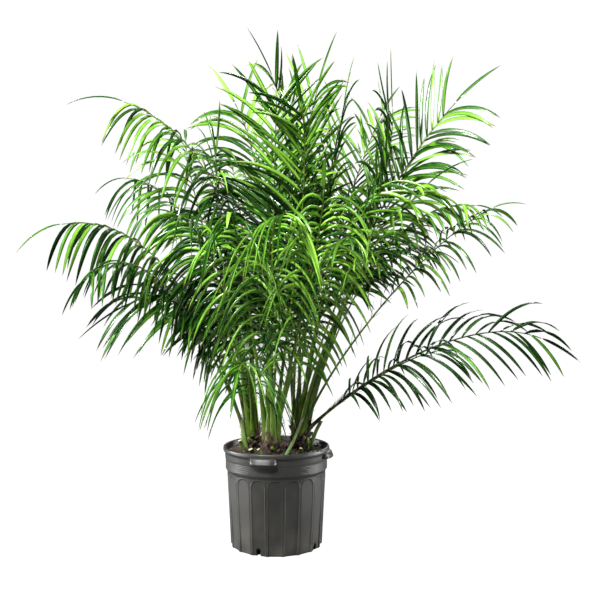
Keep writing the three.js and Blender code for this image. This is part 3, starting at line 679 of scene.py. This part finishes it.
def notch_cutter():
    """Arched plugs that open the drain notches."""
    bm = bmesh.new()
    for angle in NOTCH_ANGLES:
        plug = bmesh.ops.create_cone(bm, cap_ends=True, segments=PLUG_SIDES, radius1=NOTCH_WIDTH / 2,
                                     radius2=NOTCH_WIDTH / 2, depth=PLUG_DEPTH)["verts"]
        bmesh.ops.rotate(bm, cent=(0, 0, 0), matrix=Matrix.Rotation(math.radians(90), 3, "X"), verts=plug)
        for vert in plug:
            arched = vert.co.z > -0.1
            vert.co.z = vert.co.z + NOTCH_HEIGHT - NOTCH_WIDTH / 2 if arched else PLUG_FOOT
        bmesh.ops.translate(bm, vec=(0, PLUG_INSET - BASE_RADIUS, 0), verts=plug)
        bmesh.ops.rotate(bm, cent=(0, 0, 0), matrix=Matrix.Rotation(math.radians(angle), 3, "Z"), verts=plug)
    bmesh.ops.recalc_face_normals(bm, faces=bm.faces)
    return add_object(bm, "notch_cutter")


def cut_away(piece, cutter):
    cut = piece.modifiers.new("notches", "BOOLEAN")
    cut.operation = "DIFFERENCE"
    cut.solver = "EXACT"
    cut.object = cutter
    view = bpy.context.evaluated_depsgraph_get()
    finished = bpy.data.meshes.new_from_object(piece.evaluated_get(view))
    piece.modifiers.clear()
    piece.data = finished
    bpy.data.objects.remove(cutter)


def build_pot(material):
    bm = bmesh.new()
    spin_profile(bm, pot_profile(), COLUMNS * PANEL_COUNT)
    shape_wall(bm)
    piece = finish_piece(bm, "ribbed_pot", ["pot"], [material])
    cut_away(piece, notch_cutter())
    bm = bmesh.new()
    for angle in LUG_ANGLES:
        add_lug(bm, angle)
    finish_piece(bm, "lifting_lugs", ["pot"], [material])


# Soil
def soil_height(x, y):
    spot = Vector((x, y, 0))
    swell = sum(height * noise.noise(spot / width) for height, width in SOIL_SWELLS)
    return SOIL_TOP + SOIL_RISE * (1 - smooth(math.hypot(x, y), *SOIL_FALL)) + swell


def scatter_crumbs(bm, count, low, high, draw):
    for _ in range(count):
        radius = CRUMB_REACH * math.sqrt(draw.random())
        angle = draw.uniform(0, math.tau)
        x, y = radius * math.cos(angle), radius * math.sin(angle)
        size = draw.uniform(low, high)
        crumb = bmesh.ops.create_icosphere(bm, subdivisions=1, radius=size)["verts"]
        for vert in crumb:
            vert.co *= draw.uniform(0.75, 1.15)
        bmesh.ops.scale(bm, vec=(1, draw.uniform(0.4, 0.9), draw.uniform(0.3, 0.6)), verts=crumb)
        turn = Quaternion([draw.gauss(0, 1) for _ in range(4)]).normalized()
        bmesh.ops.rotate(bm, cent=(0, 0, 0), matrix=turn.to_matrix(), verts=crumb)
        bmesh.ops.translate(bm, vec=(x, y, soil_height(x, y) + 0.3 * size), verts=crumb)


def build_soil(soil, granule):
    draw = random.Random(SOIL_SEED)
    bm = bmesh.new()
    rim = BAND_RADIUS - WALL - 0.4
    rings = [(radius, SOIL_TOP) for radius in range(2, 124, 3)]
    profile = [(0, SOIL_TOP)] + rings + [(rim, SOIL_TOP), (rim, 195), (rim - 4, 190), (111, 120), (0, 120)]
    spin_profile(bm, profile, SOIL_SIDES)
    for vert in bm.verts:
        if vert.co.z > SOIL_TOP - 1:
            vert.co.z = soil_height(vert.co.x, vert.co.y)
    scatter_crumbs(bm, *CRUMBS, draw)
    finish_piece(bm, "bark_mix", ["soil"], [soil])
    bm = bmesh.new()
    scatter_crumbs(bm, *GRANULES, draw)
    finish_piece(bm, "mineral_granules", ["soil"], [granule])


# Strips and tubes that follow a path
def grow_strip(bm, layer, stations, growth):
    """A folded strip along stations of (centre, across, up, half width, fold)."""
    last = len(stations) - 1
    tint, tone = growth
    verts = bmesh.ops.create_grid(bm, x_segments=last, y_segments=2, size=1)["verts"]
    for vert in verts:
        place = round((vert.co.x + 1) / 2 * last)
        side = round(vert.co.y)
        centre, across, up, half, fold = stations[place]
        vert.co = centre + across * (side * half * math.cos(fold)) + up * (abs(side) * half * math.sin(fold))
        vert[layer] = (place / last, abs(side), tint, tone)


def grow_tube(bm, layer, stations, sides, growth):
    """A closed tube along stations of (centre, right, up, half width, half height, channel)."""
    last = len(stations) - 1
    tint, tone = growth
    verts = bmesh.ops.create_grid(bm, x_segments=last, y_segments=sides, size=1)["verts"]
    for vert in verts:
        share = (vert.co.x + 1) / 2
        centre, right, up, half_width, half_height, channel = stations[round(share * last)]
        angle = round((vert.co.y + 1) / 2 * sides) * math.tau / sides - math.pi / 2
        rise = math.sin(angle)
        lift = rise * half_height
        if rise > 0.5:
            lift -= channel * half_height * (1 - abs(math.cos(angle)))
        vert.co = centre + right * (math.cos(angle) * half_width) + up * lift
        vert[layer] = (share, 0, tint, tone)
    bmesh.ops.remove_doubles(bm, verts=verts, dist=1e-4)
    fresh = [vert for vert in verts if vert.is_valid]
    rim = list(dict.fromkeys(edge for vert in fresh for edge in vert.link_edges if edge.is_boundary))
    bmesh.ops.holes_fill(bm, edges=rim, sides=0)


def new_growth_mesh():
    bm = bmesh.new()
    return bm, bm.verts.layers.float_color.new("growth")


# Routes of the midribs, as in the solids
def stalk_direction(reach):
    """A stalk leaves its crown steeper than the straight way to its via point."""
    rise = lerp(0.35, 1, smooth(reach.z / reach.length, 0.5, 0.8))
    return Vector((reach.x, reach.y, reach.z + rise * reach.length)).normalized()


def seat_stalks(fronds, crown_radius):
    """Seats steep stalks in the middle of a crown and flat ones at its rim, spaced apart."""
    limit = crown_radius - SEAT_MARGIN
    seats = [frond["direction"].xy * (SEAT_SPREAD * limit) for frond in fronds]
    for _ in range(SEAT_ROUNDS):
        for i in range(len(seats)):
            for j in range(i):
                away = seats[i] - seats[j]
                missing = SEAT_SPACING - away.length
                if missing > 0:
                    push = away.normalized() * (0.3 * missing)
                    seats[i] = seats[i] + push
                    seats[j] = seats[j] - push
        seats = [seat if seat.length <= limit else seat.normalized() * limit for seat in seats]
    for frond, seat in zip(fronds, seats):
        frond["start"] = frond["crown"] + seat.to_3d()


def frond_points(frond):
    """Corners of a cubic curve that leaves along the stalk, passes the via point and ends at the tip."""
    start, via, tip = frond["start"], frond["via"], frond["tip"]
    before = (via - start).length
    t = before / (before + (tip - via).length)
    first = start + frond["direction"] * (FIRST_HANDLE * before)
    second = via - start * (1 - t) ** 3 - first * (3 * (1 - t) ** 2 * t) - tip * t ** 3
    return start, first, second / (3 * (1 - t) * t * t), tip


def curve_points(frond, steps):
    corners = np.array([tuple(point) for point in frond_points(frond)])
    t = np.linspace(0, 1, steps + 1)[:, None]
    weights = np.hstack([(1 - t) ** 3, 3 * (1 - t) ** 2 * t, 3 * (1 - t) * t * t, t ** 3])
    return weights @ corners


def stalk_width(share):
    return lerp(STALK_WIDTH, TIP_WIDTH, min(1, 1.1 * share) ** 0.7)


def bend_clear(fronds):
    """Bends midribs that come too close to each other apart at their via points."""
    widths = np.array([stalk_width(step / BEND_STEPS) for step in range(2, BEND_STEPS + 1)])
    needed = (widths[:, None] + widths[None, :]) / 2 + ROUTE_MARGIN
    for _ in range(BEND_ROUNDS):
        moved = False
        routes = [curve_points(frond, BEND_STEPS)[2:] for frond in fronds]
        for i in range(len(fronds)):
            for j in range(i):
                away = routes[i][:, None] - routes[j][None, :]
                missing = needed - np.linalg.norm(away, axis=2)
                worst = np.unravel_index(np.argmax(missing), missing.shape)
                if missing[worst] <= 0:
                    continue
                push = Vector(away[worst]).normalized() * (0.6 * missing[worst] + 1)
                fronds[i]["via"] = fronds[i]["via"] + push
                fronds[j]["via"] = fronds[j]["via"] - push
                moved = True
        if not moved:
            return


def plan_fronds():
    fronds = []
    for name, trunk, via, tip, roll, size, sag, bare, tone in FRONDS:
        place = TRUNKS[trunk]
        crown = Vector((place["x"], place["y"], place["crown_height"]))
        fronds.append({
            "name": name, "trunk": trunk, "crown": crown, "via": Vector(via), "tip": Vector(tip),
            "direction": stalk_direction(Vector(via) - crown), "roll": math.radians(roll),
            "size": size, "sag": sag, "bare": bare, "tone": tone,
        })
    for trunk, place in TRUNKS.items():
        seat_stalks([frond for frond in fronds if frond["trunk"] == trunk], place["crown_radius"])
    bend_clear(fronds)
    for frond in fronds:
        route = curve_points(frond, ROUTE_STEPS)
        steps = np.linalg.norm(np.diff(route, axis=0), axis=1)
        frond["route"] = route
        frond["reach"] = np.concatenate([[0], np.cumsum(steps)])
        frond["length"] = float(frond["reach"][-1])
    return fronds


def point_at(frond, share):
    distance = min(1, max(0, share)) * frond["length"]
    return Vector([float(np.interp(distance, frond["reach"], frond["route"][:, axis])) for axis in range(3)])


Frame = namedtuple("Frame", "point along right face")


def frame_at(frond, share):
    """A point of the midrib, the way along it, to its right and up its face."""
    along = (point_at(frond, share + FRAME_STEP) - point_at(frond, share - FRAME_STEP)).normalized()
    outward = (frond["tip"] - frond["crown"]).xy.normalized()
    right = perpendicular(Vector((outward.y, -outward.x, 0)), along)
    right = Matrix.Rotation(frond["roll"] * smooth(share, 0.1, 0.5), 3, along) @ right
    return Frame(point_at(frond, share), along, right, right.cross(along).normalized())


# Leaflets
def leaflet_length(frond, share):
    swell = 0.6 + 0.4 * math.sin(math.pi * (0.08 + 0.75 * share))
    return LEAFLET_LENGTH * frond["size"] * swell * (1 - 0.05 * share)


def blade_width(t):
    return (0.4 + 0.6 * smooth(t, 0, 0.18)) * max(0.02, (1 - t ** 4)) ** 0.9


def hanging_path(start, direction, sway, length, bend, segments):
    """Points of a leaflet that leaves its root straight and turns down under its own weight."""
    points = [start]
    for step in range(segments):
        t = (step + 0.5) / segments
        run = (direction + sway * t - UP * (bend * t)).normalized()
        points.append(points[-1] + run * (length / segments))
    return points


def run_at(path, step):
    """The way along a path at one of its points."""
    return (path[min(step + 1, len(path) - 1)] - path[max(step - 1, 0)]).normalized()


def grow_leaflet(bm, layer, frond, share, side, draw):
    """One leaflet: it leaves the midrib straight, sags, twists a little and runs to a point."""
    point, along, right, face = frame_at(frond, lerp(frond["bare"], LAST_PAIR, share))
    first_spread = lerp(STIFF_SPREAD, SOFT_SPREAD, smooth(frond["sag"], STIFF_SAG, SOFT_SAG))
    spread = math.radians(lerp(first_spread, LAST_SPREAD, share ** 1.5) + draw.gauss(0, 4))
    lift = math.radians(STIFF_RAISE - SAG_DROP * frond["sag"] + draw.gauss(0, 8))
    out = right * (side * math.cos(lift)) + face * math.sin(lift)
    direction = (along * math.cos(spread) + out * math.sin(spread)).normalized()
    length = leaflet_length(frond, share) * draw.uniform(0.88, 1.06)
    bend = frond["sag"] * (0.25 + 0.75 * direction.xy.length) * draw.uniform(0.8, 1.2)
    sway = perpendicular(along, direction) * draw.gauss(0.08, 0.15)
    centres = hanging_path(point, direction, sway, length, bend, LEAFLET_STEPS)
    if min(centres[-1].z, centres[5].z) < LOWEST_LEAF:
        return
    twist = draw.gauss(0, 0.3)
    fold = draw.uniform(0.5, 0.85)
    half = LEAFLET_WIDTH / 2 * draw.uniform(0.8, 1.15) * (0.7 + 0.3 * frond["size"])
    stations = []
    for step, centre in enumerate(centres):
        t = step / LEAFLET_STEPS
        run = run_at(centres, step)
        across = Matrix.Rotation(twist * t, 3, run) @ perpendicular(along, run)
        up = run.cross(across) * side
        stations.append((centre, across, up, half * blade_width(t), fold * (1 - 0.4 * t)))
    tint = min(1, max(0, draw.gauss(0.5, 0.3)))
    # Painted shade: a leaflet rooted deep in the canopy gets a darker tone
    away = point - CANOPY_CENTRE
    nearness = math.hypot(away.x, CANOPY_SQUASH[0] * away.y, CANOPY_SQUASH[1] * away.z)
    tone = frond["tone"] * lerp(SHADED_TONE, 1, smooth(nearness, *CANOPY_EDGES))
    grow_strip(bm, layer, stations, (tint, tone))


def grow_terminal(bm, layer, frond, draw):
    """The leaflet that ends a midrib."""
    root = frame_at(frond, 1)
    length = LAST_LEAFLET_LENGTH * leaflet_length(frond, 1)
    bend = LAST_LEAFLET_SAG * frond["sag"]
    path = hanging_path(root.point, root.along, Vector((0, 0, 0)), length, bend, LAST_LEAFLET_STEPS)
    stations = []
    for step, centre in enumerate(path):
        run = run_at(path, step)
        across = perpendicular(root.right, run)
        half = LAST_LEAFLET_HALF * blade_width(step / LAST_LEAFLET_STEPS)
        stations.append((centre, across, across.cross(run), half, LAST_LEAFLET_FOLD))
    grow_strip(bm, layer, stations, (draw.random(), frond["tone"]))


def grow_spines(bm, layer, frond, draw):
    """Leaflets shrunk to thin green spines on the lower stalk."""
    for i in range(SPINE_COUNT):
        share = frond["bare"] * lerp(*SPINE_REACH, i / (SPINE_COUNT - 1))
        for side in (1, -1):
            point, along, right, face = frame_at(frond, share + draw.uniform(-0.01, 0.01))
            length = lerp(*SPINE_LENGTHS, i / (SPINE_COUNT - 1)) * draw.uniform(0.8, 1.15)
            out = (right * side * 0.9 + face * draw.uniform(0.1, 0.5)).normalized()
            direction = (along * 0.75 + out * 0.65).normalized()
            across = perpendicular(along, direction)
            up = direction.cross(across) * side
            stations = []
            for step in range(SPINE_STEPS + 1):
                t = step / SPINE_STEPS
                centre = point + direction * (length * t) - UP * (SPINE_SAG * length * t * t)
                stations.append((centre, across, up, SPINE_HALF * (1 - 0.92 * t), SPINE_FOLD))
            grow_strip(bm, layer, stations, (draw.random(), min(1, frond["tone"] + 0.15)))


def grow_stalk(bm, layer, frond, draw):
    """The stalk and midrib: a wide channelled foot that narrows into a round rib."""
    place = TRUNKS[frond["trunk"]]
    start = frond["start"]
    foot = frame_at(frond, 0)
    axis = Vector((place["x"], place["y"], 0))
    out = Vector((start.x - place["x"], start.y - place["y"], 0))
    seat = out.length
    out = out.normalized() if seat > 1 else FRONT
    level_right = Vector((out.y, -out.x, 0))
    if level_right.dot(foot.right) < 0:
        level_right = -level_right
    reach = draw.uniform(SHORTEST_SHEATH, place["crown_height"] - SOIL_TOP)
    stations = []
    for t, width, height in SHEATH_SECTIONS:
        around = level_right.lerp(foot.right, 1 - t).normalized()
        radius = lerp(seat, min(seat, place["radius"]), t)
        centre = axis + out * radius + UP * (start.z - reach * t)
        stations.append((centre, around, out.lerp(foot.face, 1 - t).normalized(), width, height, 0))
    for step in range(STALK_STEPS + 1):
        share = step / STALK_STEPS * STALK_END
        here = frame_at(frond, share)
        flare = FOOT_FLARE * math.exp(-share * frond["length"] / FOOT_FLARE_LENGTH)
        half = 1.1 * stalk_width(share) / 2 + flare
        channel = CHANNEL_DEPTH * (1 - smooth(share, 0.1, 0.4))
        stations.append((here.point, here.right, here.face, half, 0.62 * half + 0.2, channel))
    grow_tube(bm, layer, stations, STALK_SIDES, (draw.random(), frond["tone"]))


def build_frond(frond, leaf, stalk, draw):
    bm, layer = new_growth_mesh()
    leafy = frond["length"] * (LAST_PAIR - frond["bare"])
    pairs = round(leafy / SPARSE_FRONDS.get(frond["name"], LEAFLET_SPACING))
    for pair in range(pairs):
        for side in (1, -1):
            share = (pair + 0.25 + 0.12 * side + draw.uniform(-0.12, 0.12)) / pairs
            grow_leaflet(bm, layer, frond, min(1, max(0, share)), side, draw)
    grow_terminal(bm, layer, frond, draw)
    grow_spines(bm, layer, frond, draw)
    bmesh.ops.solidify(bm, geom=bm.faces[:], thickness=BLADE_THICKNESS)
    blades = len(bm.faces)
    grow_stalk(bm, layer, frond, draw)
    paint_faces(bm, blades, STALK_PLACE)
    finish_piece(bm, "palm_" + frond["name"], ["frond_" + frond["name"]], [leaf, stalk])


# Trunks
def trunk_radius(place, height):
    widen = smooth(height, SOIL_TOP, place["crown_height"])
    return lerp(0.9 * place["radius"], 0.78 * place["crown_radius"], widen)


def grow_trunk_column(bm, place):
    top = place["crown_height"]
    profile = [(0, TRUNK_BOTTOM)]
    profile += [(trunk_radius(place, z), z) for z in range(TRUNK_BOTTOM, top, 5)]
    profile += [(0.8 * place["crown_radius"], top + 4), (0.4 * place["crown_radius"], top + 9), (0, top + 11)]
    spin_profile(bm, profile, TRUNK_SIDES)
    for vert in bm.verts:
        radius = vert.co.xy.length
        if radius > 1:
            rough = noise.noise(Vector((vert.co.x / 4, vert.co.y / 4, vert.co.z / 16)))
            vert.co.xy *= (radius + TRUNK_ROUGHNESS * rough) / radius


def ways_at(angle):
    """Outward and rightward at an angle round a trunk."""
    return Vector((math.sin(angle), -math.cos(angle), 0)), Vector((math.cos(angle), math.sin(angle), 0))


def stub_stations(place, angle, height, length, width, lean):
    """The stub of an old stalk: a wedge that is wide at its foot and torn at its end."""
    out, right = ways_at(angle)
    along = (UP * math.cos(lean) + out * math.sin(lean)).normalized()
    face = right.cross(along) * -1
    foot = out * (trunk_radius(place, height) - 3) + UP * height
    return [(foot + along * (length * t), right, face, width / 2 * lerp(1.25, 0.75, t), lerp(5, 3.2, t), 0.3)
            for t in (0, 0.25, 0.55, 0.85, 1)]


def grow_fibres(bm, place, draw):
    """Loose threads of old leaf sheaths that lie up the trunk and stand off a little at their ends."""
    strips, layer = new_growth_mesh()
    for _ in range(FIBRE_COUNT):
        angle = draw.uniform(0, math.tau)
        height = draw.uniform(SOIL_TOP + 2, place["crown_height"] + 4)
        length = draw.uniform(22, 75)
        drift = draw.gauss(0, 0.45)
        flare = draw.uniform(0.0, 0.32)
        width = draw.uniform(0.5, 1.4)
        stations = []
        for step in range(6):
            t = step / 5
            out, across = ways_at(angle + drift * t)
            level = height + length * t * (1 - 0.35 * t)
            radius = trunk_radius(place, level) + 1.2 + flare * length * t * t
            stations.append((out * radius + UP * level, across, out, width * (1 - 0.7 * t), 0.2))
        grow_strip(strips, layer, stations, (draw.random(), 0.5))
    bmesh.ops.solidify(strips, geom=strips.faces[:], thickness=FIBRE_THICKNESS)
    append_mesh(bm, strips)


def grow_cut_stalk(bm, layer, foot, top, half, draw):
    """A stalk that was cut off: broad at its foot, a little bowed, flat at its end."""
    foot, top = Vector(foot), Vector(top)
    along = (top - foot).normalized()
    right = perpendicular(Vector((1, 0.2, 0)), along)
    face = right.cross(along)
    bow = right * draw.uniform(-0.05, 0.05) * (top - foot).length
    stations = []
    for step in range(9):
        t = step / 8
        centre = foot.lerp(top, t) + bow * math.sin(math.pi * t)
        swell = half * lerp(1.3, 0.9, smooth(t, 0, 0.7))
        stations.append((centre, right, face, swell, 0.66 * swell, 0.25))
    grow_tube(bm, layer, stations, CUT_STALK_SIDES, (draw.random(), draw.uniform(0.6, 0.9)))


def build_trunk(name, place, looks, draw):
    bm, layer = new_growth_mesh()
    grow_trunk_column(bm, place)
    for i in range(STUB_COUNT):
        angle = math.radians(GOLDEN_ANGLE * i + draw.uniform(-14, 14))
        height = lerp(SOIL_TOP - 4, place["crown_height"] - 14, i / (STUB_COUNT - 1))
        stations = stub_stations(place, angle, height, draw.uniform(10, 30), draw.uniform(8, 15),
                                 math.radians(draw.uniform(14, 62)))
        grow_tube(bm, layer, stations, STUB_SIDES, (draw.random(), 0.3))
    for vert in bm.verts:
        lump = LUMP_HEIGHT * noise.noise_vector(vert.co / LUMP_WIDTH)
        grit = GRIT_HEIGHT * noise.noise_vector(vert.co / GRIT_WIDTH)
        vert.co += lump + grit
    bark_faces = len(bm.faces)
    grow_fibres(bm, place, draw)
    paint_faces(bm, bark_faces, FIBRE_PLACE)
    bmesh.ops.translate(bm, vec=(place["x"], place["y"], 0), verts=bm.verts)
    fibre_faces = len(bm.faces)
    for trunk, *cut in CUT_STALKS:
        if trunk == name:
            grow_cut_stalk(bm, layer, *cut, draw)
    paint_faces(bm, fibre_faces, OLD_STALK_PLACE)
    for face in bm.faces[fibre_faces:]:
        if len(face.verts) > 4:
            face.material_index = CUT_FACE_PLACE
    finish_piece(bm, "fibrous_trunk_" + name, ["trunk_" + name], looks)


# Stage
def build_stage():
    """A plain pale floor that stays bright to the camera and keeps a faint contact shadow."""
    bm = bmesh.new()
    bmesh.ops.create_grid(bm, x_segments=1, y_segments=1, size=FLOOR_HALF)
    floor = add_object(bm, "studio_floor")
    floor.location.z = -FLOOR_DROP
    material, tree, shader = new_material("studio_floor")
    set_surface(tree, shader, FLOOR_GREY, 0.9)
    glow = add_node(tree, "ShaderNodeEmission")
    feed(tree, glow, {"Strength": FLOOR_GLOW})
    rays = add_node(tree, "ShaderNodeLightPath")
    share = math_node(tree, "MULTIPLY", rays.outputs["Is Camera Ray"], FLOOR_GLOW_SHARE)
    mix = add_node(tree, "ShaderNodeMixShader")
    feed(tree, mix, {0: share, 1: shader.outputs[0], 2: glow.outputs[0]})
    feed(tree, tree.nodes["Material Output"], {"Surface": mix.outputs[0]})
    floor.data.materials.append(material)


def add_lamp(name, place, target, side, power, spread):
    light = bpy.data.lights.new(name, "AREA")
    light.shape = "SQUARE"
    light.size = side
    light.energy = power
    light.spread = math.radians(spread)
    lamp = bpy.data.objects.new(name, light)
    lamp.location = place
    lamp.rotation_euler = (Vector(target) - Vector(place)).to_track_quat("-Z", "Y").to_euler()
    bpy.context.scene.collection.objects.link(lamp)


def light_scene():
    world = bpy.data.worlds.new("studio_world")
    world.use_nodes = True
    tree = world.node_tree
    rays = add_node(tree, "ShaderNodeLightPath")
    strength = math_node(tree, "ADD", rays.outputs["Is Camera Ray"], WORLD_GLOW)
    feed(tree, tree.nodes["Background"], {"Color": (1, 1, 1, 1), "Strength": strength})
    bpy.context.scene.world = world
    for lamp in LAMPS:
        add_lamp(*lamp)


def add_camera():
    data = bpy.data.cameras.new("camera")
    data.sensor_width = FILM_WIDTH
    data.lens = LENS
    data.shift_y = PICTURE_SHIFT
    camera = bpy.data.objects.new("camera", data)
    camera.location = CAMERA_PLACE
    camera.rotation_euler = (math.radians(90), 0, 0)
    bpy.context.scene.collection.objects.link(camera)
    bpy.context.scene.camera = camera


noise.seed_set(NOISE_SEED)
add_camera()
light_scene()
build_stage()
bpy.context.scene.view_settings.view_transform = "Standard"
build_pot(plastic_material())
build_soil(soil_material(), granule_material())
leaf = leaflet_material()
stalk = stalk_material()
looks = [bark_material(), fibre_material(), old_stalk_material(), cut_face_material()]
for order, (name, place) in enumerate(TRUNKS.items()):
    build_trunk(name, place, looks, random.Random(TRUNK_SEED + order))
for order, frond in enumerate(plan_fronds()):
    build_frond(frond, leaf, stalk, random.Random(FROND_SEED + order))
